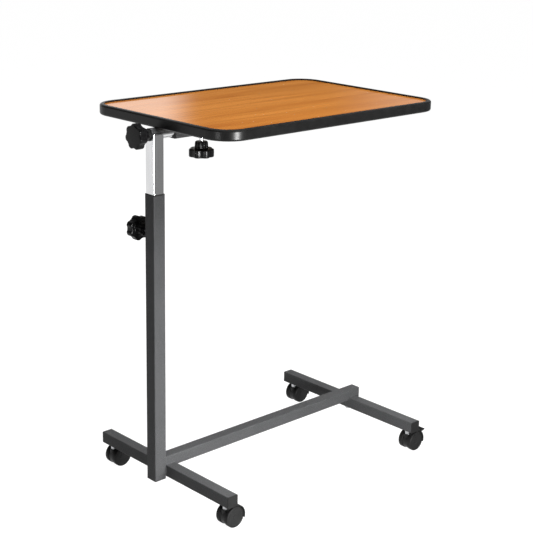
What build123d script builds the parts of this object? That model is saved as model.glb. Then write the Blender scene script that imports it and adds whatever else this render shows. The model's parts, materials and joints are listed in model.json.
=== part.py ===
"""Overbed table: an H-shaped rolling base, a telescoping column and a sliding, tilting top.

Millimetres, +Z up, floor at Z = 0. Every part is drawn from the column's centre line,
with +X along the spine towards the far leg. save() then moves it by SHIFT_X, so that
the origin is on the floor under the middle of the whole table.
"""
from build123d import *
import math
import os

# ---- driving dimensions ----------------------------------------------------------

# square tubes
WALL = 1.2                # wall of every square tube
TUBE = 25.0               # legs, spine, inner column and support rail
TUBE_CORNER = 2.0         # outside corner radius of every square tube
COLUMN = 28.0             # outer column
FIT = 0.05                # radial clearance of a running fit
CUT = 1.0                 # how far a cutting solid runs past the face that it cuts

# base
LEG_Z = 49.0              # underside of the legs
LEG_HALF = 205.0          # half the length of a leg, end caps included
FAR_LEG_X = 559.0         # near face of the far leg
SPINE_Z = 67.0            # underside of the spine
SPINE_END_X = 593.0       # end of the spine, end cap included
CAP = 1.5                 # flange of every plastic end cap
PLUG = 12.0               # depth of every end cap's plug
PLUG_WALL = 2.0
SPINE_PLUG = 6.0          # shorter, so that it stops before the far leg's notch
BOLT_HEAD_T = 5.3
NUT_PLATE_HALF = 10.0
NUT_PLATE_T = 5.0

# column and mast, at the rest height
COLUMN_Z = 45.0           # underside of the column's foot cap
COLUMN_TOP = 641.0
BUSH_TOP = 643.0
CLAMP_Z = 565.0           # height clamp
MAST_BOTTOM = 239.6
MAST_TOP = 759.6
GLIDE_T = 6.0             # glide under the mast
GLIDE_CORNER = 1.0

# tilting rod and head
ROD_Z = 758.5             # tilt axis
ROD_R = 10.7
ROD_WALL = 1.5
ROD_START = -12.4
ROD_END = 262.0
SADDLE_R = 12.2
SADDLE_END = 38.0
PLATE = 1.5               # end plate of the saddle
PLATE_GAP = 0.2           # between the rod's end and the plate
FRICTION_BUSH_R = 10.0
FRICTION_BUSH_L = 6.4
THREAD_PLUG_END = 6.0
TILT_STUD_END = -2.0
ROD_GLIDE_T = 8.0

# table top
BOARD_X0, BOARD_X1 = 5.0, 587.0
BOARD_WIDTH = 390.0
BOARD_T = 18.0
BOARD_Z = 771.0           # underside of the board
BOARD_R = 43.0            # corner radius of the board
RIM = 9.0                 # width of the edge band
RIM_EDGE = 4.0            # rounding of its outer edges
LIP = 3.0                 # height of the edge band above the board
BARB = 8.0                # depth of the edge band's tongue
BARB_T = 2.0
RAIL_X0, RAIL_X1 = 43.0, 545.0
RAIL_FLANGE = 2.5
RAIL_BUSH_DEPTH = 20.0
RAIL_BUSH_CORNER = 0.8
SLIDE_CLAMP_X = 116.0
SLIDE_TRAVEL = 110.0

# brackets under the board and their screws
BRACKET_X = (165.0, 345.0, 515.0)
BRACKET_HALF = 20.0
BRACKET_T = 2.0
BRACKET_WING = 20.0       # width of the wing under the board
BRACKET_DROP = 18.0       # height of the side welded to the rail
SCREW_STEP = 12.0         # screws stand this far either side of a bracket's middle
SCREW_Y = TUBE / 2 + 12.0
SCREW_R = 2.0
SCREW_DEPTH = 13.0
SCREW_HEAD_R = 4.0
SCREW_HEAD_T = 2.4

# clamps
STUD_R = 3.95
STUD_TIP_R = 3.0
NUT_BORE = 4.0
NUT_AF = 13.0
NUT_T = 6.5
STUD_HOLE = 4.3           # clearance hole for a stud or bolt
HEIGHT_STANDOFF = 10.5    # from the nut's face to the knob's hub
TILT_STANDOFF = 6.5       # from the saddle's end plate to the knob's hub
SLIDE_STANDOFF = 8.5
SLIDE_TIP = 2.0           # length of the slide stud's thinner tip, in the rod's slot
SLIDE_TIP_GAP = 0.3

# star knob, drawn along +Z from the end of its hub
HUB_R = 13.5
HUB_TAPER = 1.0           # the hub is this much smaller at its free end
HUB_L = 14.0
STAR_T = 16.5
STAR_EDGE = 1.6           # rounding of the star's edges
LOBES = 7
LOBE_R = 6.5              # radius of a lobe
LOBE_CENTRE = 18.5        # its centre, from the knob's axis
VALLEY_CENTRE = 27.0      # centre of the hollow between two lobes
STUD_DEPTH = 22.0         # stud inside the knob
KNOB_L = HUB_L + STAR_T

# twin-wheel caster, drawn from its stem's axis with the axle towards +X
CASTER_Y = 183.0
TRAIL = 12.0
WHEEL_R = 22.0
WHEEL_IN, WHEEL_OUT = 6.0, 17.0
WHEEL_EDGE = 1.2          # rounding of the tread's edges
WHEEL_DISH_R = 18.5
WHEEL_DISH = 0.8          # depth of the dish in a wheel's outer face
WHEEL_CAP_R = 6.0
WHEEL_CAP_SINK = 0.2      # the cap's face below the wheel's
WEB = 5.5                 # half thickness of the hood's web
WEB_R = 20.5
AXLE_R = 2.5
AXLE_HALF = 14.5
AXLE_END_GAP = 0.4        # in the wheel's blind bore
FENDER_IN, FENDER_OUT = 23.5, 25.5
FENDER_FROM, FENDER_TO = -17.0, 102.0
BOSS_R = 7.5              # boss round the stem, cut flat to the web's thickness
BOSS_TOP = 38.5
STEM_R = 4.0
STEM_BOTTOM, STEM_TOP = 25.0, 67.0
COLLAR_R = 5.5            # collar of the stem, between the hood and the leg
COLLAR_TOP = 47.9
COLLAR_GAP = 0.2
SOCKET_R = 5.5
SOCKET_FLANGE_R = 9.0
SOCKET_FLANGE_T = 1.0
SOCKET_TOP = 70.0

# brake lever, measured from the axle
LEVER_HALF = 8.0
LEVER_T = 2.0
LEVER_R = 24.6
LEVER_FROM, LEVER_TO = 28.0, 64.0
PIVOT_X, PIVOT_Z = 10.0, 23.4
PIVOT_R = 2.2
TRUNNION_R = 1.4
LUG_T = 2.5
LUG_FROM_X = 1.0
LUG_ROOT = 0.6            # how deep the lugs root in the fender's skin
LEVER_GAP = 0.3           # between the lever and the hood on each side
WINDOW_FROM, WINDOW_TO = 14.0, 78.0
TAB_X, TAB_Z = 38.5, 17.0

# ---- derived sizes ---------------------------------------------------------------

NEAR_LEG_X = COLUMN / 2
NEAR_STEM_X = NEAR_LEG_X + TUBE / 2
FAR_STEM_X = FAR_LEG_X + TUBE / 2
LEG_TOP = LEG_Z + TUBE
BOARD_LENGTH = BOARD_X1 - BOARD_X0
BOARD_MID_X = (BOARD_X0 + BOARD_X1) / 2
BOARD_TOP = BOARD_Z + BOARD_T
PLATE_X = ROD_START - PLATE_GAP
HUB_X = PLATE_X - PLATE - TILT_STANDOFF
TABLE_LEFT = HUB_X - KNOB_L
TABLE_RIGHT = FAR_STEM_X + TRAIL + TAB_X
SHIFT_X = -(TABLE_LEFT + TABLE_RIGHT) / 2


# ---- helpers ---------------------------------------------------------------------

def save(name, *solids):
    """Writes one node, as one solid or as a group of separate solids."""
    placed = [Pos(SHIFT_X, 0, 0) * s for s in solids]
    shape = placed[0] if len(placed) == 1 else Compound(children=placed)
    shape.label = name
    export_step(shape, f"parts/{name}.step")


def block(x0, x1, y0, y1, z0, z1):
    return Pos((x0 + x1) / 2, (y0 + y1) / 2, (z0 + z1) / 2) * Box(x1 - x0, y1 - y0, z1 - z0)


def cyl_x(radius, x0, x1, y=0, z=0):
    return Pos((x0 + x1) / 2, y, z) * Rot(0, 90, 0) * Cylinder(radius, x1 - x0)


def cyl_y(radius, y0, y1, x=0, z=0):
    return Pos(x, (y0 + y1) / 2, z) * Rot(90, 0, 0) * Cylinder(radius, y1 - y0)


def cyl_z(radius, z0, z1, x=0, y=0):
    return Pos(x, y, (z0 + z1) / 2) * Cylinder(radius, z1 - z0)


def square(size, corner=TUBE_CORNER):
    return RectangleRounded(size, size, corner)


def square_ring(outer, inner):
    """Section of a square tube, with the inside corners rounded to suit the wall."""
    wall = (outer - inner) / 2
    return square(outer) - square(inner, max(TUBE_CORNER - wall, 0.6))


def bar_x(section, x0, x1, y=0, z=0):
    return Pos(x0, y, z) * Rot(0, 90, 0) * extrude(section, x1 - x0)


def bar_y(section, y0, y1, x=0, z=0):
    return Pos(x, y0, z) * Rot(-90, 0, 0) * extrude(section, y1 - y0)


def bar_z(section, z0, z1, x=0, y=0):
    return Pos(x, y, z0) * extrude(section, z1 - z0)


TUBE_SECTION = square_ring(TUBE, TUBE - 2 * WALL)
CAP_PLUG = square_ring(TUBE - 2 * WALL, TUBE - 2 * WALL - 2 * PLUG_WALL)
HEX = RegularPolygon(NUT_AF / 2, 6, major_radius=False)


# ---- base ------------------------------------------------------------------------

def make_column():
    bore = COLUMN - 2 * WALL
    tube = bar_z(square_ring(COLUMN, bore), COLUMN_Z + WALL, COLUMN_TOP)
    save("outer_column", tube - cyl_y(STUD_HOLE, 0, COLUMN, z=CLAMP_Z))

    cap = bar_z(square(COLUMN), COLUMN_Z, COLUMN_Z + WALL)
    cap += bar_z(square_ring(bore, bore - 2 * PLUG_WALL), COLUMN_Z + WALL, COLUMN_Z + WALL + PLUG)
    save("column_foot_cap", cap)

    guide = square(COLUMN) - square(TUBE + 4 * FIT)
    save("column_guide_bush", bar_z(guide, COLUMN_TOP, BUSH_TOP))

    nut = bar_y(HEX, COLUMN / 2, COLUMN / 2 + NUT_T, z=CLAMP_Z)
    save("height_clamp_nut", nut - cyl_y(NUT_BORE, 0, COLUMN, z=CLAMP_Z))


def make_spine():
    mid_z = SPINE_Z + TUBE / 2
    tube = bar_x(TUBE_SECTION, COLUMN / 2, SPINE_END_X - CAP, z=mid_z)
    for x in (NEAR_LEG_X, FAR_LEG_X):
        tube -= block(x, x + TUBE, -TUBE, TUBE, SPINE_Z - CUT, LEG_TOP)
    save("spine_tube", tube)

    cap = bar_x(square(TUBE), SPINE_END_X - CAP, SPINE_END_X, z=mid_z)
    cap += bar_x(CAP_PLUG, SPINE_END_X - CAP - SPINE_PLUG, SPINE_END_X - CAP, z=mid_z)
    save("spine_end_cap", cap)


def make_leg(name, face_x):
    """A leg tube with its two end caps. face_x is the leg's side towards the column."""
    x = face_x + TUBE / 2
    z = LEG_Z + TUBE / 2
    end = LEG_HALF - CAP
    tube = bar_y(TUBE_SECTION, -end, end, x=x, z=z)
    tube -= cyl_z(STUD_HOLE, LEG_Z - CUT, LEG_TOP + CUT, x=x)
    for y in (-CASTER_Y, CASTER_Y):
        tube -= cyl_z(SOCKET_R, LEG_Z - CUT, LEG_Z + TUBE / 2, x=x, y=y)
    save(f"{name}_leg_tube", tube)

    caps = []
    for side in (-1, 1):
        cap = bar_y(square(TUBE), 0, CAP)
        cap += bar_y(CAP_PLUG, -PLUG, 0)
        turn = Rot(0, 0, 0) if side > 0 else Rot(0, 0, 180)
        caps.append(Pos(x, side * end, z) * turn * cap)
    save(f"{name}_leg_end_caps", *caps)


def make_leg_fasteners():
    bolts = []
    plates = []
    half = NUT_PLATE_HALF
    plate_top = LEG_TOP + NUT_PLATE_T
    for x in (NEAR_STEM_X, FAR_STEM_X):
        bolt = bar_z(HEX, LEG_Z - BOLT_HEAD_T, LEG_Z, x=x)
        bolts.append(bolt + cyl_z(STUD_R, LEG_Z, plate_top + NUT_PLATE_T, x=x))
        plate = block(x - half, x + half, -half, half, LEG_TOP, plate_top)
        plates.append(plate - cyl_z(NUT_BORE, LEG_TOP - CUT, plate_top + CUT, x=x))
    save("leg_bolts", *bolts)
    save("leg_nut_plates", *plates)


# ---- clamps ----------------------------------------------------------------------

def star_outline():
    """Face of the star: seven lobes joined by tangent hollows."""
    half_step = math.pi / LOBES
    gap = math.sqrt(LOBE_CENTRE ** 2 + VALLEY_CENTRE ** 2
                    - 2 * LOBE_CENTRE * VALLEY_CENTRE * math.cos(half_step))
    share = LOBE_R / gap

    def polar(radius, angle):
        return Vector(radius * math.cos(angle), radius * math.sin(angle))

    edges = []
    for i in range(LOBES):
        angle = 2 * i * half_step
        lobe = polar(LOBE_CENTRE, angle)
        before = polar(VALLEY_CENTRE, angle - half_step)
        after = polar(VALLEY_CENTRE, angle + half_step)
        following = polar(LOBE_CENTRE, angle + 2 * half_step)
        start = lobe + (before - lobe) * share
        end = lobe + (after - lobe) * share
        next_start = following + (after - following) * share
        crest = polar(LOBE_CENTRE + LOBE_R, angle)
        trough = polar(VALLEY_CENTRE - (gap - LOBE_R), angle + half_step)
        edges.append(ThreePointArc(start, crest, end))
        edges.append(ThreePointArc(end, trough, next_start))
    return Face(Wire(edges))


def knob_grip():
    """Star knob along +Z. Its hub starts at Z = 0 and its outer face is at KNOB_L."""
    star = extrude(star_outline(), STAR_T)
    rims = star.edges().group_by(Axis.Z)
    star = fillet(rims[-1] + rims[0], STAR_EDGE)
    hub = Pos(0, 0, HUB_L / 2) * Cone(HUB_R - HUB_TAPER, HUB_R, HUB_L)
    grip = Pos(0, 0, HUB_L) * star + hub
    return grip - cyl_z(STUD_R, -CUT, STUD_DEPTH)


def make_clamp(name, place, reach, tip=0.0):
    """A knob and its stud. reach is the stud's length ahead of the hub, without its tip."""
    save(f"{name}_knob_grip", place * knob_grip())
    stud = cyl_z(STUD_R, -reach, STUD_DEPTH)
    if tip:
        stud += cyl_z(STUD_TIP_R, -reach - tip, -reach)
    save(f"{name}_knob_stud", place * stud)


def make_clamps():
    hub_y = COLUMN / 2 + NUT_T + HEIGHT_STANDOFF
    make_clamp("height", Pos(0, hub_y, CLAMP_Z) * Rot(-90, 0, 0), hub_y - COLUMN / 2 + WALL)
    make_clamp("tilt", Pos(HUB_X, 0, ROD_Z) * Rot(0, -90, 0), TILT_STUD_END - HUB_X)
    hub_z = ROD_Z - TUBE / 2 - NUT_T - SLIDE_STANDOFF
    shoulder_z = ROD_Z - ROD_R - SLIDE_TIP_GAP
    place = Pos(SLIDE_CLAMP_X, 0, hub_z) * Rot(180, 0, 0)
    make_clamp("slide", place, shoulder_z - hub_z, SLIDE_TIP)


# ---- mast and head ---------------------------------------------------------------

def make_mast():
    tube = bar_z(TUBE_SECTION, MAST_BOTTOM, MAST_TOP)
    save("inner_column", tube - cyl_x(ROD_R + FIT, -TUBE, TUBE, z=ROD_Z))

    bore = COLUMN - 2 * WALL - 2 * FIT
    glide = bar_z(square(bore, GLIDE_CORNER), MAST_BOTTOM - GLIDE_T, MAST_BOTTOM)
    glide += bar_z(CAP_PLUG, MAST_BOTTOM, MAST_BOTTOM + PLUG)
    save("inner_column_glide", glide)

    arch = cyl_x(SADDLE_R, PLATE_X, SADDLE_END, z=ROD_Z)
    arch -= cyl_x(ROD_R + FIT, PLATE_X - CUT, SADDLE_END + CUT, z=ROD_Z)
    arch -= block(PLATE_X - CUT, SADDLE_END + CUT, -TUBE, TUBE, ROD_Z - TUBE, MAST_TOP)
    saddle = arch + cyl_x(SADDLE_R, PLATE_X - PLATE, PLATE_X, z=ROD_Z)
    save("head_saddle", saddle - cyl_x(STUD_HOLE, -TUBE, TUBE, z=ROD_Z))

    bush_x = PLATE_X - PLATE
    bush = cyl_x(FRICTION_BUSH_R, bush_x - FRICTION_BUSH_L, bush_x, z=ROD_Z)
    save("tilt_friction_bush", bush - cyl_x(STUD_HOLE, -2 * TUBE, 0, z=ROD_Z))


def make_tilt_rod():
    inside = ROD_R - ROD_WALL
    rod = cyl_x(ROD_R, ROD_START, ROD_END, z=ROD_Z)
    rod -= cyl_x(inside, ROD_START - CUT, ROD_END + CUT, z=ROD_Z)
    slot_half = STUD_TIP_R + 0.2
    slot_x0 = SLIDE_CLAMP_X - slot_half
    slot_x1 = SLIDE_CLAMP_X + SLIDE_TRAVEL + slot_half
    rod -= block(slot_x0, slot_x1, -slot_half, slot_half, ROD_Z - TUBE, ROD_Z)
    save("tilt_rod", rod)

    plug = cyl_x(inside, ROD_START, THREAD_PLUG_END, z=ROD_Z)
    bore = cyl_x(NUT_BORE, ROD_START - CUT, THREAD_PLUG_END + CUT, z=ROD_Z)
    save("rod_thread_plug", plug - bore)

    glide_size = TUBE - 2 * WALL - 4 * FIT
    glide = bar_x(square(glide_size, GLIDE_CORNER), ROD_END, ROD_END + ROD_GLIDE_T, z=ROD_Z)
    save("rod_end_glide", glide + cyl_x(inside, ROD_END - PLUG, ROD_END, z=ROD_Z))


# ---- table top -------------------------------------------------------------------

def board_outline(grow=0.0):
    width = BOARD_WIDTH + 2 * grow
    return RectangleRounded(BOARD_LENGTH + 2 * grow, width, BOARD_R + grow)


def make_board_and_rim():
    tongue_z = BOARD_Z + (BOARD_T - BARB_T) / 2
    tongue = board_outline() - board_outline(-BARB)
    tongue = Pos(BOARD_MID_X, 0, tongue_z) * extrude(tongue, BARB_T)

    board = Pos(BOARD_MID_X, 0, BOARD_Z) * extrude(board_outline(), BOARD_T)
    board -= tongue
    for x, y in screw_places():
        board -= cyl_z(SCREW_R, BOARD_Z - CUT, BOARD_Z + SCREW_DEPTH, x=x, y=y)
    save("table_board", board)

    band = extrude(board_outline(RIM), BOARD_T + LIP)
    levels = band.edges().group_by(Axis.Z)
    band = fillet(levels[-1] + levels[0], RIM_EDGE)
    band -= Pos(0, 0, -CUT) * extrude(board_outline(), BOARD_T + LIP + 2 * CUT)
    save("edge_rim", Pos(BOARD_MID_X, 0, BOARD_Z) * band + tongue)


def screw_places():
    return [(x + dx, side * SCREW_Y)
            for x in BRACKET_X for dx in (-SCREW_STEP, SCREW_STEP) for side in (-1, 1)]


def make_rail():
    rail = bar_x(TUBE_SECTION, RAIL_X0, RAIL_X1, z=ROD_Z)
    rail -= cyl_z(STUD_HOLE, ROD_Z - TUBE, ROD_Z, x=SLIDE_CLAMP_X)
    save("support_rail", rail)

    bush = bar_x(square(TUBE), RAIL_X0 - RAIL_FLANGE, RAIL_X0, z=ROD_Z)
    inner = square(TUBE - 2 * WALL, RAIL_BUSH_CORNER)
    bush += bar_x(inner, RAIL_X0, RAIL_X0 + RAIL_BUSH_DEPTH, z=ROD_Z)
    save("rail_guide_bush", bush - cyl_x(ROD_R + FIT, 0, RAIL_X0 + 2 * RAIL_BUSH_DEPTH, z=ROD_Z))

    cap = bar_x(square(TUBE), RAIL_X1, RAIL_X1 + CAP, z=ROD_Z)
    save("rail_end_cap", cap + bar_x(CAP_PLUG, RAIL_X1 - PLUG, RAIL_X1, z=ROD_Z))

    nut = bar_z(HEX, ROD_Z - TUBE / 2 - NUT_T, ROD_Z - TUBE / 2, x=SLIDE_CLAMP_X)
    save("slide_clamp_nut", nut - cyl_z(NUT_BORE, 0, ROD_Z, x=SLIDE_CLAMP_X))


def make_rail_brackets():
    """Angle brackets, welded to the rail's sides and screwed to the board from below."""
    brackets = []
    for x in BRACKET_X:
        for side in (-1, 1):
            y0 = TUBE / 2
            upright = block(x - BRACKET_HALF, x + BRACKET_HALF, y0, y0 + BRACKET_T,
                            BOARD_Z - BRACKET_DROP, BOARD_Z)
            wing = block(x - BRACKET_HALF, x + BRACKET_HALF, y0, y0 + BRACKET_WING,
                         BOARD_Z - BRACKET_T, BOARD_Z)
            angle = upright + wing
            if side < 0:
                angle = mirror(angle, about=Plane.XZ)
            for sx, sy in screw_places():
                angle -= cyl_z(SCREW_R, BOARD_Z - BRACKET_T - CUT, BOARD_Z + CUT, x=sx, y=sy)
            brackets.append(angle)
    save("rail_brackets", *brackets)

    screws = []
    head_z = BOARD_Z - BRACKET_T
    for x, y in screw_places():
        screw = cyl_z(SCREW_R, head_z, BOARD_Z + SCREW_DEPTH, x=x, y=y)
        screws.append(screw + cyl_z(SCREW_HEAD_R, head_z - SCREW_HEAD_T, head_z, x=x, y=y))
    save("bracket_screws", *screws)


# ---- casters ---------------------------------------------------------------------

def sector(inner, outer, start, end, half_width):
    """Part of a ring round the axle, from angle start to end above the +X side."""
    ring = cyl_y(outer, -half_width, half_width) - cyl_y(inner, -half_width, half_width)
    reach = 3 * outer
    angles = [start, (start + end) / 2, end]
    corners = [(0, 0)]
    corners += [(reach * math.cos(math.radians(a)), reach * math.sin(math.radians(a)))
                for a in angles]
    wedge = Rot(90, 0, 0) * extrude(make_face(Polyline(*corners, close=True)),
                                    2 * half_width, both=True)
    return ring & wedge


def caster_hood(with_brake):
    """Web between the wheels, boss round the stem and a fender over the top and the back."""
    axle = Pos(TRAIL, 0, WHEEL_R)
    crown_from = WINDOW_TO if with_brake else FENDER_FROM
    hood = cyl_y(WEB_R, -WEB, WEB)
    hood += sector(WEB_R - CUT, FENDER_OUT, crown_from, FENDER_TO, WEB)
    fender = sector(FENDER_IN, FENDER_OUT, FENDER_FROM, FENDER_TO, WHEEL_OUT)
    if with_brake:
        window_half = LEVER_HALF + LEVER_GAP
        fender -= sector(FENDER_IN - CUT, FENDER_OUT + CUT, WINDOW_FROM, WINDOW_TO, window_half)
        fender += brake_lugs()
        bore = TRUNNION_R + FIT
        fender -= cyl_y(bore, -WHEEL_OUT, WHEEL_OUT, x=PIVOT_X, z=PIVOT_Z)
    hood = axle * (hood + fender)
    boss = cyl_z(BOSS_R, WHEEL_R, BOSS_TOP) & block(-BOSS_R, BOSS_R, -WEB, WEB, 0, BOSS_TOP)
    hood += boss
    hood -= cyl_z(STEM_R, STEM_BOTTOM, COLLAR_TOP)
    hood -= cyl_z(COLLAR_R + COLLAR_GAP, BOSS_TOP, COLLAR_TOP)
    return hood - axle * cyl_y(AXLE_R, -WHEEL_OUT, WHEEL_OUT)


def brake_lugs():
    """Two lugs in the fender's skin, one each side of the window."""
    lugs = []
    for side in (-1, 1):
        inner = side * (LEVER_HALF + LEVER_GAP)
        outer = inner + side * LUG_T
        y0, y1 = min(inner, outer), max(inner, outer)
        lug = block(LUG_FROM_X, PIVOT_X, y0, y1, FENDER_IN - PIVOT_R, PIVOT_Z + PIVOT_R)
        lug += cyl_y(PIVOT_R, y0, y1, x=PIVOT_X, z=PIVOT_Z)
        lugs.append(lug - cyl_y(FENDER_IN - LUG_ROOT, -WHEEL_OUT, WHEEL_OUT))
    return lugs[0] + lugs[1]


def brake_lever():
    """Shoe over the tyres, pivot hub with two trunnions and the foot tab."""
    shoe = sector(LEVER_R, LEVER_R + LEVER_T, LEVER_FROM, LEVER_TO, LEVER_HALF)
    hub = cyl_y(PIVOT_R, -LEVER_HALF, LEVER_HALF, x=PIVOT_X, z=PIVOT_Z)
    trunnion_half = LEVER_HALF + LEVER_GAP + LUG_T
    hub += cyl_y(TRUNNION_R, -trunnion_half, trunnion_half, x=PIVOT_X, z=PIVOT_Z)
    foot = math.radians(LEVER_FROM)
    x0 = LEVER_R * math.cos(foot)
    z0 = LEVER_R * math.sin(foot)
    tab = make_face(Polyline((x0, z0), (TAB_X, TAB_Z - LEVER_T), (TAB_X, TAB_Z),
                             (x0 + 1, z0 + LEVER_T + 1), close=True))
    tab = Rot(90, 0, 0) * extrude(tab, LEVER_HALF, both=True)
    return Pos(TRAIL, 0, WHEEL_R) * (shoe + hub + tab)


def caster_wheel(side):
    """Wheel on one side of the web: rounded tread, dished outer face and blind bore."""
    width = WHEEL_OUT - WHEEL_IN
    wheel = cyl_z(WHEEL_R, 0, width)
    wheel = fillet(wheel.edges().filter_by(GeomType.CIRCLE), WHEEL_EDGE)
    wheel -= cyl_z(WHEEL_DISH_R, width - WHEEL_DISH, width + CUT)
    wheel += cyl_z(WHEEL_CAP_R, width - WHEEL_DISH, width - WHEEL_CAP_SINK)
    wheel -= cyl_z(AXLE_R + FIT, -CUT, AXLE_HALF - WHEEL_IN + AXLE_END_GAP)
    turn = Rot(-90, 0, 0) if side > 0 else Rot(90, 0, 0)
    return Pos(TRAIL, side * WHEEL_IN, WHEEL_R) * turn * wheel


def caster_stem():
    """Stem in the hood and the leg's socket, with a collar between them."""
    return cyl_z(STEM_R, STEM_BOTTOM, STEM_TOP) + cyl_z(COLLAR_R, BOSS_TOP, COLLAR_TOP)


def make_casters():
    sockets = []
    for leg, x in (("near", NEAR_STEM_X), ("far", FAR_STEM_X)):
        for end, y in (("front", -CASTER_Y), ("rear", CASTER_Y)):
            name = f"caster_{leg}_{end}"
            place = Pos(x, y, 0)
            with_brake = leg == "far"
            save(f"{name}_stem", place * caster_stem())
            save(f"{name}_hood", place * caster_hood(with_brake))
            axle = cyl_y(AXLE_R, -AXLE_HALF, AXLE_HALF, x=TRAIL, z=WHEEL_R)
            save(f"{name}_axle", place * axle)
            save(f"{name}_wheel_a", place * caster_wheel(-1))
            save(f"{name}_wheel_b", place * caster_wheel(1))
            if with_brake:
                save(f"{name}_brake_lever", place * brake_lever())
            socket = cyl_z(SOCKET_FLANGE_R, LEG_Z - SOCKET_FLANGE_T, LEG_Z)
            socket += cyl_z(SOCKET_R, LEG_Z, SOCKET_TOP)
            sockets.append(place * (socket - cyl_z(STEM_R + FIT, 0, SOCKET_TOP + CUT)))
    save("caster_sockets", *sockets)


os.makedirs("parts", exist_ok=True)
make_column()
make_spine()
make_leg("near", NEAR_LEG_X)
make_leg("far", FAR_LEG_X)
make_leg_fasteners()
make_clamps()
make_mast()
make_tilt_rod()
make_board_and_rim()
make_rail()
make_rail_brackets()
make_casters()
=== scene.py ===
"""Looks of the overbed table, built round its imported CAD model.

Metres, +Z up. Places come from the frame: node boxes, joint positions and the whole box.
The knobs, wheels and weld beads are drawn in millimetres and scaled as their meshes are made.
"""
import json
import math

import bmesh
import bpy
from mathutils import Matrix, Vector


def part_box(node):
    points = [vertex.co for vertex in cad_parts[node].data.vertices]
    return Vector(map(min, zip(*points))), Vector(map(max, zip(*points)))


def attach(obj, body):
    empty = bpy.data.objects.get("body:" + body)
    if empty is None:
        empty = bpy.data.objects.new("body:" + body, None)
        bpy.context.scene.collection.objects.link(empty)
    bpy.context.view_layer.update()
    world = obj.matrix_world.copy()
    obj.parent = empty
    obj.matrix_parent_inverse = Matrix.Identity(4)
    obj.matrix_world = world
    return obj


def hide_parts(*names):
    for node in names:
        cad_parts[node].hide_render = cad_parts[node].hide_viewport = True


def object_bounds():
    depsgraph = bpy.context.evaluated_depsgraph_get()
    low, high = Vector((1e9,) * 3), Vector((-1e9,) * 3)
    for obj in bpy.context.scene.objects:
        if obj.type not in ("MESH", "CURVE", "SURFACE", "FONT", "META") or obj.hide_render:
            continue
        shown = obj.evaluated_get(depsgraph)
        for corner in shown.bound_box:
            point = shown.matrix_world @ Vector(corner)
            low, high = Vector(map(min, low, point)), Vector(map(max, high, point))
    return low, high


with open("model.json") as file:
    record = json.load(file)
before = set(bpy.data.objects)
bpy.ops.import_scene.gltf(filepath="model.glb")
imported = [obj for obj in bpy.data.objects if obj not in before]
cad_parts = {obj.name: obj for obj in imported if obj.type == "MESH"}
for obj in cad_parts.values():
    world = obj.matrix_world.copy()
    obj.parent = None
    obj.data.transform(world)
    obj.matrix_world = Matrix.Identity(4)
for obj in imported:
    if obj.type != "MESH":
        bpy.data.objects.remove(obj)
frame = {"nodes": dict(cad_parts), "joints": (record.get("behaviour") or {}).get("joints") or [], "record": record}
cad_low, cad_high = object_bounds()
nodes = frame["nodes"]
joints = {j["name"]: j for j in frame["joints"]}

MM = 0.001

# ---- camera ----------------------------------------------------------------------

CAMERA_PLACE = Vector((-1.7365, -1.8440, 1.2030))
CAMERA_YAW = math.radians(46.514)      # from +X towards +Y
CAMERA_PITCH = math.radians(16.701)    # below the horizon
CAMERA_ROLL = math.radians(1.164)
CAMERA_LENS = 84.73
SENSOR = 36.0


def add_camera():
    forward = Vector((math.cos(CAMERA_YAW) * math.cos(CAMERA_PITCH),
                      math.sin(CAMERA_YAW) * math.cos(CAMERA_PITCH),
                      -math.sin(CAMERA_PITCH)))
    level_right = Vector((math.sin(CAMERA_YAW), -math.cos(CAMERA_YAW), 0))
    level_up = level_right.cross(forward)
    right = level_right * math.cos(CAMERA_ROLL) + level_up * math.sin(CAMERA_ROLL)
    up = right.cross(forward)
    data = bpy.data.cameras.new("camera")
    data.lens = CAMERA_LENS
    data.sensor_width = SENSOR
    camera = bpy.data.objects.new("camera", data)
    turn = Matrix((right, up, -forward)).transposed().to_4x4()
    camera.matrix_world = Matrix.Translation(CAMERA_PLACE) @ turn
    bpy.context.scene.collection.objects.link(camera)
    bpy.context.scene.camera = camera


# ---- material helpers ------------------------------------------------------------

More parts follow.
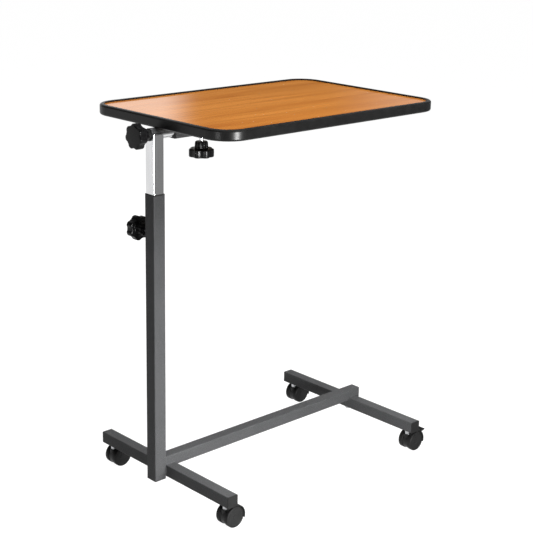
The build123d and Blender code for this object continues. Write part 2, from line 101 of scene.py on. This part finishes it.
class Paint:
    """A node material under construction, with its shader and object coordinates."""

    def __init__(self, name, metallic=0.0, specular=0.5):
        self.material = bpy.data.materials.new(name)
        self.material.use_nodes = True
        self.tree = self.material.node_tree
        self.tree.nodes.clear()
        self.shader = self.add("ShaderNodeBsdfPrincipled")
        self.shader.inputs["Metallic"].default_value = metallic
        self.shader.inputs["Specular IOR Level"].default_value = specular
        output = self.add("ShaderNodeOutputMaterial")
        self.link(self.shader.outputs["BSDF"], output.inputs["Surface"])
        self.coordinates = self.add("ShaderNodeTexCoord").outputs["Object"]

    def add(self, kind):
        return self.tree.nodes.new(kind)

    def link(self, start, end):
        self.tree.links.new(start, end)

    def stretched(self, scale):
        """Object coordinates multiplied by scale, one number for each axis."""
        mapping = self.add("ShaderNodeMapping")
        mapping.inputs["Scale"].default_value = scale
        self.link(self.coordinates, mapping.inputs["Vector"])
        return mapping.outputs["Vector"]

    def noise(self, scale, detail=3.0, roughness=0.55, distortion=0.0):
        """Noise from 0 to 1. scale is one number for each axis, in waves per metre."""
        node = self.add("ShaderNodeTexNoise")
        self.link(self.stretched(scale), node.inputs["Vector"])
        node.inputs["Scale"].default_value = 1.0
        node.inputs["Detail"].default_value = detail
        node.inputs["Roughness"].default_value = roughness
        node.inputs["Distortion"].default_value = distortion
        return node.outputs["Fac"]

    def ramp(self, value, stops):
        node = self.add("ShaderNodeValToRGB")
        self.link(value, node.inputs["Fac"])
        elements = node.color_ramp.elements
        while len(elements) < len(stops):
            elements.new(0.5)
        for element, (place, colour) in zip(elements, stops):
            element.position = place
            element.color = (*colour, 1.0)
        return node.outputs["Color"]

    def range(self, value, low, high):
        """value from 0 to 1 spread between low and high."""
        node = self.add("ShaderNodeMapRange")
        self.link(value, node.inputs["Value"])
        node.inputs["To Min"].default_value = low
        node.inputs["To Max"].default_value = high
        return node.outputs["Result"]

    def maths(self, operation, first, second):
        node = self.add("ShaderNodeMath")
        node.operation = operation
        for socket, value in zip(node.inputs, (first, second)):
            if isinstance(value, (int, float)):
                socket.default_value = value
            else:
                self.link(value, socket)
        return node.outputs["Value"]

    def mix(self, factor, first, second, blend="MIX"):
        node = self.add("ShaderNodeMix")
        node.data_type = "RGBA"
        node.blend_type = blend
        sockets = (node.inputs["Factor"], node.inputs[6], node.inputs[7])
        for socket, value in zip(sockets, (factor, first, second)):
            if isinstance(value, bpy.types.NodeSocket):
                self.link(value, socket)
            elif isinstance(value, tuple):
                socket.default_value = (*value, 1.0)
            else:
                socket.default_value = value
        return node.outputs[2]

    def colour(self, value):
        self.link(value, self.shader.inputs["Base Color"])

    def rough(self, value):
        self.link(value, self.shader.inputs["Roughness"])

    def bump(self, height, depth, strength=1.0):
        """depth is the height of the relief in metres."""
        node = self.add("ShaderNodeBump")
        node.inputs["Strength"].default_value = strength
        node.inputs["Distance"].default_value = depth
        self.link(height, node.inputs["Height"])
        self.link(node.outputs["Normal"], self.shader.inputs["Normal"])


# ---- materials -------------------------------------------------------------------

def frame_paint():
    """Dark grey metallic powder coat: a fine orange peel with brighter flakes."""
    paint = Paint("frame_paint", specular=0.13)
    peel = paint.noise((620, 620, 620), detail=2)
    flakes = paint.noise((2600, 2600, 2600), detail=1)
    patches = paint.noise((9, 9, 9), detail=4)
    base = paint.ramp(patches, [(0.3, (0.066, 0.067, 0.069)), (0.7, (0.080, 0.081, 0.083))])
    sparkle = paint.ramp(flakes, [(0.56, (0.0, 0.0, 0.0)), (0.74, (1.0, 1.0, 1.0))])
    paint.colour(paint.mix(sparkle, base, (0.17, 0.17, 0.175)))
    paint.rough(paint.range(peel, 0.38, 0.54))
    paint.bump(peel, 0.00006, 0.7)
    return paint.material


def chrome_tube():
    """Satin chrome: bright, with faint lines drawn along the tube."""
    paint = Paint("chrome_tube", metallic=1.0)
    lines = paint.noise((900, 900, 6), detail=2)
    cloud = paint.noise((40, 40, 14), detail=3)
    paint.colour(paint.ramp(cloud, [(0.3, (0.86, 0.865, 0.875)), (0.7, (0.93, 0.932, 0.94))]))
    paint.rough(paint.range(lines, 0.10, 0.2))
    paint.bump(lines, 0.000008, 0.5)
    return paint.material


def star_knob():
    """Moulded black thermoset with a soft gloss and flow marks."""
    paint = Paint("star_knob", specular=0.2)
    grain = paint.noise((900, 900, 900), detail=2)
    flow = paint.noise((60, 60, 60), detail=3, distortion=0.6)
    paint.colour(paint.ramp(flow, [(0.25, (0.004, 0.004, 0.0043)), (0.8, (0.008, 0.008, 0.0086))]))
    paint.rough(paint.range(flow, 0.22, 0.36))
    paint.bump(grain, 0.00002, 0.5)
    return paint.material


def zinc_steel():
    """Bright zinc plate with the mottled spangle of turned and pressed parts."""
    paint = Paint("zinc_steel", metallic=1.0)
    mottle = paint.noise((350, 350, 350), detail=3)
    scratches = paint.noise((120, 120, 2400), detail=2)
    paint.colour(paint.ramp(mottle, [(0.3, (0.56, 0.57, 0.59)), (0.75, (0.74, 0.745, 0.76))]))
    paint.rough(paint.range(mottle, 0.2, 0.38))
    paint.bump(scratches, 0.00001, 0.5)
    return paint.material


def moulded(name, dark, light, low, high, specular, grain_scale=1500):
    """Moulded plastic: a spark-eroded grain, slightly uneven colour and gloss."""
    paint = Paint(name, specular=specular)
    grain = paint.noise((grain_scale,) * 3, detail=2)
    cloud = paint.noise((45, 45, 45), detail=3)
    paint.colour(paint.ramp(cloud, [(0.3, dark), (0.75, light)]))
    paint.rough(paint.range(cloud, low, high))
    paint.bump(grain, 0.00003, 0.6)
    return paint.material


BACKING_ROUGHNESS = 0.5   # of the board's underside, which the printed face stays below


def wood_laminate():
    """Honey wood-grain laminate on the top, with the grain along X, and a plain backing below."""
    paint = Paint("wood_laminate", specular=0.65)
    figure = paint.noise((1.6, 17, 17), detail=5, roughness=0.6, distortion=0.9)
    bands = paint.noise((2.6, 75, 75), detail=4, roughness=0.65, distortion=0.4)
    fibre = paint.noise((22, 900, 900), detail=3, roughness=0.7)
    honey = paint.ramp(figure, [(0.28, (0.39, 0.126, 0.018)),
                                (0.45, (0.47, 0.170, 0.028)),
                                (0.58, (0.52, 0.196, 0.036)),
                                (0.75, (0.43, 0.147, 0.022))])
    band_tone = paint.ramp(bands, [(0.32, (0.80, 0.74, 0.66)),
                                   (0.52, (1.0, 1.0, 1.0)),
                                   (0.72, (1.06, 1.05, 1.03))])
    toned = paint.mix(0.75, honey, band_tone, "MULTIPLY")
    pores = paint.ramp(fibre, [(0.30, (0.55, 0.45, 0.36)), (0.42, (1.0, 1.0, 1.0))])
    grained = paint.mix(0.55, toned, pores, "MULTIPLY")
    geometry = paint.add("ShaderNodeNewGeometry")
    axes = paint.add("ShaderNodeSeparateXYZ")
    paint.link(geometry.outputs["Normal"], axes.inputs["Vector"])
    is_top = paint.maths("GREATER_THAN", axes.outputs["Z"], 0.5)
    chips = paint.noise((420, 420, 420), detail=4)
    backing = paint.ramp(chips, [(0.3, (0.15, 0.108, 0.07)), (0.7, (0.22, 0.165, 0.11))])
    paint.colour(paint.mix(is_top, backing, grained))
    gloss = paint.maths("MULTIPLY", is_top, paint.range(bands, 0.41, 0.35))
    paint.rough(paint.maths("SUBTRACT", BACKING_ROUGHNESS, gloss))
    paint.bump(fibre, 0.00001, 0.35)
    return paint.material


MATERIALS = {
    "frame_paint": frame_paint(),
    "chrome_tube": chrome_tube(),
    "star_knob": star_knob(),
    "zinc_steel": zinc_steel(),
    "black_plastic": moulded("black_plastic", (0.008,) * 3, (0.013,) * 3, 0.42, 0.6, 0.3),
    "wood_laminate": wood_laminate(),
    "edge_pvc": moulded("edge_pvc", (0.010,) * 3, (0.016,) * 3, 0.26, 0.36, 0.25, 1100),
    "caster_plastic": moulded("caster_plastic", (0.007,) * 3, (0.012,) * 3, 0.3, 0.45, 0.3),
    "wheel_nylon": moulded("wheel_nylon", (0.012,) * 3, (0.018,) * 3, 0.4, 0.55, 0.2),
}


def finish_cad_nodes():
    for part in frame["record"]["subparts"]:
        node = nodes[part["node"]]
        for index in range(len(node.data.materials)):
            node.data.materials[index] = MATERIALS[part["material_slot"]]


# ---- mesh helpers ----------------------------------------------------------------

def new_piece(name, mesh, body, slot, smooth_angle=35.0):
    """Links a mesh as a piece that rides on a body and takes a slot's finish."""
    piece = bpy.data.objects.new(name, mesh)
    bpy.context.scene.collection.objects.link(piece)
    mesh.materials.append(MATERIALS[slot])
    mesh.shade_smooth()
    mesh.set_sharp_from_angle(angle=math.radians(smooth_angle))
    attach(piece, body)
    return piece


def skin(name, rings, placed):
    """Closed mesh through rings of equal length, each a list of points in millimetres."""
    made = bmesh.new()
    grid = [[made.verts.new(placed @ (Vector(p) * MM)) for p in ring] for ring in rings]
    for lower, upper in zip(grid, grid[1:]):
        for i in range(len(lower)):
            j = (i + 1) % len(lower)
            made.faces.new((lower[i], lower[j], upper[j], upper[i]))
    made.faces.new(list(reversed(grid[0])))
    made.faces.new(grid[-1])
    bmesh.ops.recalc_face_normals(made, faces=made.faces)
    mesh = bpy.data.meshes.new(name)
    made.to_mesh(mesh)
    made.free()
    return mesh


def frame_at(place, z_axis, x_axis):
    """Matrix of a local frame at a place, with the given Z and X axes."""
    z_axis, x_axis = Vector(z_axis), Vector(x_axis)
    turn = Matrix((x_axis, z_axis.cross(x_axis), z_axis)).transposed().to_4x4()
    return Matrix.Translation(Vector(place)) @ turn


def circle(radius, z, steps):
    """A ring of points round the Z axis."""
    angles = [2 * math.pi * i / steps for i in range(steps)]
    return [(radius * math.cos(a), radius * math.sin(a), z) for a in angles]


# ---- star knobs ------------------------------------------------------------------

LOBES = 7
STEPS_PER_LOBE = 26
KNOB_STEPS = LOBES * STEPS_PER_LOBE
LOBE_TIP, LOBE_VALLEY = 24.9, 21.9
HUB_LENGTH, STAR_THICKNESS = 14.0, 16.5
HUB_END_R, HUB_ROOT_R = 12.8, 13.8
FLUTE_DEPTH = 1.9
KNOB_EDGE = 2.4
CROWN = 0.5               # the outer face stands this much higher at its middle
BELLY = 0.12              # the star's side swells this much halfway up
BORE_R, BORE_DEPTH = 4.1, 1.5
BORE_LIP_R, BORE_CHAMFER = 4.65, 0.4
EDGE_TURNS = (0, 18, 36, 54, 72, 90)    # degrees round the star's edges
FACE_SHARES = (0.85, 0.6, 0.35, 0.1)    # rings of the outer face, as shares of its radius

# Radius, level and flute depth up the hub, from round the bore to the foot of the star.
HUB_PROFILE = (
    (HUB_END_R - 1.6, 0.0, FLUTE_DEPTH / 2),
    (HUB_END_R - 0.5, 0.35, FLUTE_DEPTH),
    (HUB_END_R, 1.3, FLUTE_DEPTH),
    ((HUB_END_R + HUB_ROOT_R) / 2, HUB_LENGTH / 2, FLUTE_DEPTH),
    (HUB_ROOT_R, HUB_LENGTH - 1.2, FLUTE_DEPTH),
    (HUB_ROOT_R + 0.5, HUB_LENGTH - 0.3, FLUTE_DEPTH / 2),
    (HUB_ROOT_R + 1.4, HUB_LENGTH, 0.0),
)
STAR_UNDERSIDE = 1.2      # the flat between the hub and the star's lower edge


def star_ring(inset, z):
    """One level of the star, its outline drawn in by inset."""
    mean, swing = (LOBE_TIP + LOBE_VALLEY) / 2, (LOBE_TIP - LOBE_VALLEY) / 2
    ring = []
    for i in range(KNOB_STEPS):
        angle = 2 * math.pi * i / KNOB_STEPS
        lobe = math.sin(math.pi / 2 * math.cos(LOBES * angle))
        radius = mean + swing * lobe - inset
        ring.append((radius * math.cos(angle), radius * math.sin(angle), z))
    return ring


def round_ring(radius, z, flute=0.0):
    """One level of the hub or the face, with a hollow between every two lobes if asked for."""
    ring = []
    for i in range(KNOB_STEPS):
        angle = 2 * math.pi * i / KNOB_STEPS
        depth = flute * (0.5 - 0.5 * math.cos(LOBES * angle)) ** 2
        ring.append(((radius - depth) * math.cos(angle), (radius - depth) * math.sin(angle), z))
    return ring


def knob_rings():
    """Levels from the bore in the hub's end, up the hub and over the star to its face."""
    top = HUB_LENGTH + STAR_THICKNESS
    turns = [math.radians(a) for a in EDGE_TURNS]
    rings = [round_ring(BORE_R, BORE_DEPTH), round_ring(BORE_R, BORE_CHAMFER),
             round_ring(BORE_LIP_R, 0.0)]
    rings += [round_ring(radius, z, flute) for radius, z, flute in HUB_PROFILE]
    rings.append(star_ring(KNOB_EDGE + STAR_UNDERSIDE, HUB_LENGTH))
    for turn in turns:
        rings.append(star_ring(KNOB_EDGE * (1 - math.sin(turn)),
                               HUB_LENGTH + KNOB_EDGE * (1 - math.cos(turn))))
    rings.append(star_ring(-BELLY, HUB_LENGTH + STAR_THICKNESS / 2))
    for turn in turns:
        rings.append(star_ring(KNOB_EDGE * (1 - math.cos(turn)),
                               top - KNOB_EDGE * (1 - math.sin(turn))))
    face = LOBE_VALLEY - KNOB_EDGE
    for share in FACE_SHARES:
        rings.append(round_ring(face * share, top + CROWN * (1 - share ** 2)))
    return rings


def add_knobs():
    across = {"height": (1, 0, 0), "tilt": (0, 0, 1), "slide": (1, 0, 0)}
    rings = knob_rings()
    for name, x_axis in across.items():
        turn = joints[f"{name}_knob_turn"]
        placed = frame_at(turn["pos_m"], turn["axis"], x_axis)
        mesh = skin(f"{name}_star_knob", rings, placed)
        knob = new_piece(f"{name}_star_knob", mesh, f"{name}_knob", "star_knob")
        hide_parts(f"{name}_knob_grip")


# ---- caster wheels ---------------------------------------------------------------

WHEEL_RADIUS = 22.0
WHEEL_WIDTH = 11.0
WHEEL_BORE = 2.6
WHEEL_BORE_DEPTH = 4.0    # the bore stops this far into the wheel
WHEEL_STEPS = 72
TREAD_EDGE = 1.4
TREAD_TURNS = (0, 22, 45, 68, 90)       # degrees round the tread's edges

# Depth below the wheel's face and radius. The inner face goes out from the bore, over a recess.
INNER_FACE = ((0.3, WHEEL_BORE), (0.0, WHEEL_BORE + 0.4), (0.0, 7.0), (1.2, 8.0), (1.2, 17.0),
              (0.0, 18.0))
# The outer face goes in from the tread, over a groove, the dished cap and the hub's ring.
OUTER_FACE = ((0.0, 19.6), (0.15, 19.3), (0.7, 19.15), (0.8, 18.8), (0.75, 18.4), (0.35, 18.0),
              (0.3, 17.5), (0.45, 12.0), (0.5, 7.2), (0.75, 6.9), (0.75, 6.3), (0.3, 6.0),
              (0.22, 5.4), (0.2, 1.2))


def wheel_profile():
    """(distance out from the wheel's middle, radius) from the inner bore round to the cap."""
    half = WHEEL_WIDTH / 2
    points = [(WHEEL_BORE_DEPTH - half, WHEEL_BORE)]
    points += [(depth - half, radius) for depth, radius in INNER_FACE]
    for side, degrees in ((-1, TREAD_TURNS), (1, reversed(TREAD_TURNS))):
        for angle in degrees:
            turn = math.radians(angle)
            points.append((side * (half - TREAD_EDGE + TREAD_EDGE * math.cos(turn)),
                           WHEEL_RADIUS - TREAD_EDGE + TREAD_EDGE * math.sin(turn)))
    points += [(half - depth, radius) for depth, radius in OUTER_FACE]
    return points


def add_wheels():
    rings = [circle(radius, out, WHEEL_STEPS) for out, radius in wheel_profile()]
    for name, joint in joints.items():
        if not name.endswith("_roll"):
            continue
        body = joint["child"]
        outward = -1 if body.endswith("_a") else 1
        placed = frame_at(joint["pos_m"], (0, outward, 0), (1, 0, 0))
        piece_name = body.replace("caster", "tyre")
        wheel = new_piece(piece_name, skin(piece_name, rings, placed), body, "wheel_nylon")
        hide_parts(body)


# ---- weld beads ------------------------------------------------------------------

# A bead's radius, the step between its rings, and its ripples' length and share of the radius.
BEAD = 1.7
BEAD_STEP, LEAST_STEPS = 0.5, 6
BEAD_SIDES = 10
RIPPLE_LENGTH, RIPPLE_SHARE = 2.1, 0.16
END_SHARE, TAPER = 0.35, 2.0            # a bead's ends are this share of it, and swell over TAPER
BEAD_SMOOTH = 80                        # degrees between faces that are still shaded smoothly

# Metres from here on.
LEG_INSET, COLUMN_INSET = 0.001, 0.002  # from a seam's end to its bead's end
SADDLE_INSET, SADDLE_GAP = 0.003, 0.0004
BRACKET_SHARES = (0.0, 0.514, 1.0)      # where the brackets stand, from first to last
BRACKET_REACH = 0.020                   # from a bracket's middle to its end
BRACKET_INSET, BRACKET_GAP = 0.004, 0.001
NUT_TACK_R, NUT_TACK_REACH = 0.0072, 0.0028
NUT_TACKS = 3


def bead_mesh(name, start, end):
    """A rippled weld bead from start to end, in metres, tapering at both ends."""
    start, end = Vector(start), Vector(end)
    run = (end - start).length / MM
    along = (end - start).normalized()
    placed = frame_at(start, along, along.orthogonal().normalized())
    rings = []
    count = max(LEAST_STEPS, int(run / BEAD_STEP))
    for i in range(count + 1):
        place = run * i / count
        ripple = 1 - RIPPLE_SHARE + RIPPLE_SHARE * abs(math.sin(math.pi * place / RIPPLE_LENGTH))
        taper = min(1.0, END_SHARE + place / TAPER, END_SHARE + (run - place) / TAPER)
        rings.append(circle(BEAD * ripple * taper, place, BEAD_SIDES))
    return skin(name, rings, placed)


def add_bead(name, body, start, end):
    new_piece(name, bead_mesh(name, start, end), body, "frame_paint", smooth_angle=BEAD_SMOOTH)


def add_base_welds():
    """Legs to spine, and column to the near leg and the spine."""
    spine_low, spine_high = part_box("spine_tube")
    column_low, column_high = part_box("outer_column")
    for leg in ("near", "far"):
        leg_low, leg_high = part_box(f"{leg}_leg_tube")
        step_x = leg_low.x if leg == "far" else leg_high.x
        for side, y in (("front", spine_low.y), ("rear", spine_high.y)):
            add_bead(f"weld_{leg}_leg_spine_{side}", "base",
                     (leg_low.x + LEG_INSET, y, leg_high.z),
                     (leg_high.x - LEG_INSET, y, leg_high.z))
            add_bead(f"weld_{leg}_leg_step_{side}", "base",
                     (step_x, y, spine_low.z + LEG_INSET), (step_x, y, leg_high.z - LEG_INSET))
    leg_low, leg_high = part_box("near_leg_tube")
    for side, y in (("front", column_low.y), ("rear", column_high.y)):
        add_bead(f"weld_column_leg_{side}", "base",
                 (leg_low.x, y, leg_low.z + COLUMN_INSET),
                 (leg_low.x, y, leg_high.z - COLUMN_INSET))
    for side, y in (("front", spine_low.y), ("rear", spine_high.y)):
        add_bead(f"weld_column_spine_{side}", "base",
                 (column_high.x, y, leg_high.z + LEG_INSET),
                 (column_high.x, y, spine_high.z - LEG_INSET))
    add_bead("weld_column_spine_top", "base",
             (column_high.x, spine_low.y + COLUMN_INSET, spine_high.z),
             (column_high.x, spine_high.y - COLUMN_INSET, spine_high.z))


def add_saddle_welds():
    mast_low, mast_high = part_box("inner_column")
    saddle_low, saddle_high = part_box("head_saddle")
    for side, y in (("front", saddle_low.y - SADDLE_GAP), ("rear", saddle_high.y + SADDLE_GAP)):
        add_bead(f"weld_saddle_{side}", "mast",
                 (mast_low.x + SADDLE_INSET, y, mast_high.z),
                 (mast_high.x - SADDLE_INSET, y, mast_high.z))


def add_bracket_welds():
    rail_low, rail_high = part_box("support_rail")
    brackets_low, brackets_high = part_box("rail_brackets")
    first, last = brackets_low.x + BRACKET_REACH, brackets_high.x - BRACKET_REACH
    for i, share in enumerate(BRACKET_SHARES):
        middle = first + (last - first) * share
        reach = BRACKET_REACH - BRACKET_INSET
        for side, y in (("front", rail_low.y - BRACKET_GAP), ("rear", rail_high.y + BRACKET_GAP)):
            add_bead(f"weld_bracket_{i}_{side}", "tabletop",
                     (middle - reach, y, brackets_low.z), (middle + reach, y, brackets_low.z))


def add_nut_tacks():
    """Three tacks round the root of each clamp nut, which stands out of its tube."""
    for name, body, out in (("height", "base", Vector((0, 1, 0))),
                            ("slide", "tabletop", Vector((0, 0, -1)))):
        nut_low, nut_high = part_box(f"{name}_clamp_nut")
        root = (nut_low + nut_high) / 2
        for axis in range(3):
            if out[axis]:
                root[axis] = nut_low[axis] if out[axis] > 0 else nut_high[axis]
        across = out.orthogonal().normalized()
        for i in range(NUT_TACKS):
            spoke = Matrix.Rotation(2 * math.pi * i / NUT_TACKS, 4, out) @ across
            middle = root + spoke * NUT_TACK_R
            run = out.cross(spoke) * NUT_TACK_REACH
            add_bead(f"tack_{name}_nut_{i}", body, middle - run, middle + run)


# ---- studio ----------------------------------------------------------------------

FLOOR_SIZE = 60.0
FLOOR_DROP = 0.0002                     # keeps the floor clear of the wheels that rest on it
FLOOR_ROUGHNESS = 0.9
FLOOR_SEEN, FLOOR_BOUNCE = 0.98, 0.1    # the floor's own light, to the eye and to the object

# Name, place from what it lights, size in metres and watts.
FOOT_BOX = ("low_front", (0.0, -0.75, 0.1), (0.4, 0.2), 8)
SOFT_BOXES = (
    ("high_front", (0.5, -1.35, 1.9), (1.0, 1.0), 52),
    ("top", (-0.15, -0.4, 2.2), (1.6, 1.6), 52),
    ("back_fill", (2.0, 1.4, 0.3), (1.2, 1.2), 40),
)
FOOT_IN, FOOT_UP = 0.1, 0.1             # the foot box aims here, from the whole box's -X side

# Two lights that only mirrors see. Degrees from +X towards +Y, and watts.
GLINTS = (("rim_front", -88, 80), ("rim_side", -169, 5.714))
GLINT_SIZE = (0.42, 0.42)
GLINT_DISTANCE, GLINT_RISE = 2.2, -0.19  # from the top's near corner, and its rise per metre

WORLD_BRIGHT = 1.0
WORLD_SEEN = 1.3          # to the camera, so that the backdrop is pure white
WORLD_DIM = 0.2           # above the horizon towards +X -Y
WORLD_LOW = 0.25          # below the horizon there, which only mirrors see
WORLD_TOP = 0.34          # above the bright horizon
WORLD_SIDE = 0.15         # above the horizon towards -X
WORLD_LEFT = 1.12         # left of the flag, towards -X +Y
FLAG_DARK, FLAG_RIGHT = 0.04, 0.5

# Where each blend begins and ends, in x, in z, or in y - x of the direction.
HORIZON = (-0.03, 0.02)
FRONT_HIGH, FRONT_LOW = (-1.0, -0.25), (-0.6, 1.1)
STEEP = (-0.5, -0.34)
TOP = (0.20, 0.36)
SIDE = (-0.35, 0.1)
FLAG_LEFT_EDGE, FLAG_RIGHT_EDGE = (0.115, 0.16), (-0.16, -0.02)


def add_floor():
    """Plain white floor: pure white to the eye, and a dimmer grey to the light it throws back."""
    mesh = bpy.data.meshes.new("floor")
    half = FLOOR_SIZE / 2
    corners = [(-half, -half, 0), (half, -half, 0), (half, half, 0), (-half, half, 0)]
    mesh.from_pydata(corners, [], [(0, 1, 2, 3)])
    floor = bpy.data.objects.new("floor", mesh)
    floor.location.z = cad_low.z - FLOOR_DROP
    bpy.context.scene.collection.objects.link(floor)
    paint = Paint("floor", specular=0.0)
    paint.shader.inputs["Roughness"].default_value = FLOOR_ROUGHNESS
    grain = paint.noise((4, 4, 4), detail=2)
    paint.colour(paint.ramp(grain, [(0.3, (0.15, 0.15, 0.15)), (0.7, (0.16, 0.16, 0.16))]))
    paint.shader.inputs["Emission Color"].default_value = (1.0, 1.0, 1.0, 1.0)
    seen = paint.add("ShaderNodeLightPath").outputs["Is Camera Ray"]
    paint.link(paint.range(seen, FLOOR_BOUNCE, FLOOR_SEEN),
               paint.shader.inputs["Emission Strength"])
    mesh.materials.append(paint.material)
    floor.visible_glossy = False


def add_area(name, place, aim, size, power, mirrored):
    """Soft box facing the aim point. The camera never sees it, and mirrors only if mirrored."""
    data = bpy.data.lights.new(name, "AREA")
    data.shape = "RECTANGLE"
    data.size, data.size_y = size
    data.energy = power
    light = bpy.data.objects.new(name, data)
    turn = (Vector(aim) - Vector(place)).to_track_quat("-Z", "Y").to_matrix().to_4x4()
    light.matrix_world = Matrix.Translation(Vector(place)) @ turn
    light.visible_camera = False
    light.visible_glossy = mirrored
    bpy.context.scene.collection.objects.link(light)
    return light


def add_lights():
    """Soft boxes in front, overhead and behind, and two small ones mirrored in the rim."""
    middle = (cad_low + cad_high) / 2
    foot = Vector((cad_low.x + FOOT_IN, 0, FOOT_UP))
    name, offset, size, power = FOOT_BOX
    add_area(name, foot + Vector(offset), foot, size, power, False)
    for name, offset, size, power in SOFT_BOXES:
        add_area(name, middle + Vector(offset), middle, size, power, False)
    corner = Vector((cad_low.x, cad_low.y, cad_high.z))
    for name, azimuth, power in GLINTS:
        turn = math.radians(azimuth)
        towards = Vector((math.cos(turn), math.sin(turn), GLINT_RISE)) * GLINT_DISTANCE
        glint = add_area(name, corner + towards, corner, GLINT_SIZE, power, True)
        glint.visible_diffuse = False


def add_world():
    """A bright horizon, dimmer overhead, towards +X -Y and towards -X, with a dark flag at +X +Y."""
    world = bpy.data.worlds.new("studio")
    bpy.context.scene.world = world
    world.use_nodes = True
    tree = world.node_tree
    tree.nodes.clear()

    def add(kind):
        return tree.nodes.new(kind)

    def blend(value, span, low, high):
        node = add("ShaderNodeMapRange")
        node.interpolation_type = "SMOOTHSTEP"
        tree.links.new(value, node.inputs["Value"])
        node.inputs["From Min"].default_value = span[0]
        node.inputs["From Max"].default_value = span[1]
        node.inputs["To Min"].default_value = low
        node.inputs["To Max"].default_value = high
        return node.outputs["Result"]

    def maths(operation, first, second):
        node = add("ShaderNodeMath")
        node.operation = operation
        tree.links.new(first, node.inputs[0])
        tree.links.new(second, node.inputs[1])
        return node.outputs["Value"]

    def mix(factor, first, second):
        """first and second are sockets or numbers."""
        node = add("ShaderNodeMix")
        for name, value in (("Factor", factor), ("A", first), ("B", second)):
            if isinstance(value, float):
                node.inputs[name].default_value = value
            else:
                tree.links.new(value, node.inputs[name])
        return node.outputs["Result"]

    direction = add("ShaderNodeTexCoord").outputs["Generated"]
    split = add("ShaderNodeSeparateXYZ")
    tree.links.new(direction, split.inputs["Vector"])
    across = maths("SUBTRACT", split.outputs["Y"], split.outputs["X"])
    above = blend(split.outputs["Z"], HORIZON, 0.0, 1.0)
    front_high = blend(across, FRONT_HIGH, WORLD_DIM, WORLD_BRIGHT)
    front_low = blend(across, FRONT_LOW, WORLD_LOW, WORLD_BRIGHT)
    steep = blend(split.outputs["Z"], STEEP, WORLD_BRIGHT, 0.0)
    front = mix(above, maths("MAXIMUM", front_low, steep), front_high)
    height = blend(split.outputs["Z"], TOP, WORLD_BRIGHT, WORLD_TOP)
    sky_side = blend(split.outputs["X"], SIDE, WORLD_SIDE, WORLD_BRIGHT)
    side = mix(above, WORLD_BRIGHT, sky_side)
    flag_left = blend(across, FLAG_LEFT_EDGE, FLAG_DARK, WORLD_LEFT)
    flag_right = blend(across, FLAG_RIGHT_EDGE, FLAG_RIGHT, 0.0)
    flag = mix(above, WORLD_BRIGHT, maths("ADD", flag_left, flag_right))
    product = maths("MULTIPLY", maths("MULTIPLY", front, height),
                    maths("MULTIPLY", side, flag))
    seen = add("ShaderNodeLightPath").outputs["Is Camera Ray"]
    background = add("ShaderNodeBackground")
    tree.links.new(mix(seen, product, WORLD_SEEN), background.inputs["Strength"])
    output = add("ShaderNodeOutputWorld")
    tree.links.new(background.outputs["Background"], output.inputs["Surface"])


add_camera()
finish_cad_nodes()
add_knobs()
add_wheels()
add_base_welds()
add_saddle_welds()
add_bracket_welds()
add_nut_tacks()
add_floor()
add_world()
add_lights()
bpy.context.scene.view_settings.view_transform = "Standard"
